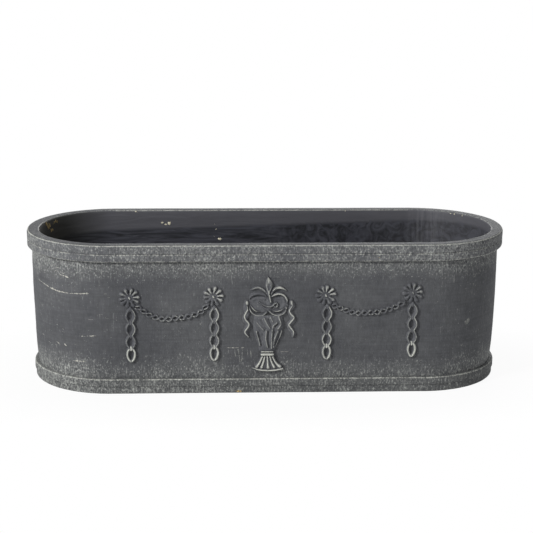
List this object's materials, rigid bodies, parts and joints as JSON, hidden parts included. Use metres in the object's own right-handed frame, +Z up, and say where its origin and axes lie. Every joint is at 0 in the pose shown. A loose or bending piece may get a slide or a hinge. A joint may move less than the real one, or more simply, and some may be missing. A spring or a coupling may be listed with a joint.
{
  "type": "planter trough",
  "caption": "Oval-ended planter trough of moulded clay with a slab rim, a stepped plinth and relief of rosettes, drops, swags and a draped urn on the front.",
  "frame": {"origin": "middle of the underside, on the ground", "axes": "+X along the length, +Z up, the decorated front faces -Y"},
  "size_m": [0.6, 0.215, 0.188],
  "materials": {
    "bare_clay_floor": "matte",
    "washed_clay_wall": "matte",
    "washed_clay_plinth": "matte",
    "washed_clay_rim": "matte",
    "rubbed_clay_relief": "matte"
  },
  "bodies": {
    "root": {"floor_slab": "bare_clay_floor", "wall": "washed_clay_wall", "plinth_moulding": "washed_clay_plinth", "rim_bead": "washed_clay_rim", "rim_cap": "washed_clay_rim", "rosette_1": "rubbed_clay_relief", "rosette_2": "rubbed_clay_relief", "rosette_3": "rubbed_clay_relief", "rosette_4": "rubbed_clay_relief", "drop_1": "rubbed_clay_relief", "drop_2": "rubbed_clay_relief", "drop_3": "rubbed_clay_relief", "drop_4": "rubbed_clay_relief", "swag_left": "rubbed_clay_relief", "swag_right": "rubbed_clay_relief", "bud_and_leaves": "rubbed_clay_relief", "bow": "rubbed_clay_relief", "ribbon_tail_left": "rubbed_clay_relief", "ribbon_tail_right": "rubbed_clay_relief", "draped_urn": "rubbed_clay_relief", "urn_collar": "rubbed_clay_relief", "urn_foot": "rubbed_clay_relief"}
  },
  "joints": []
}
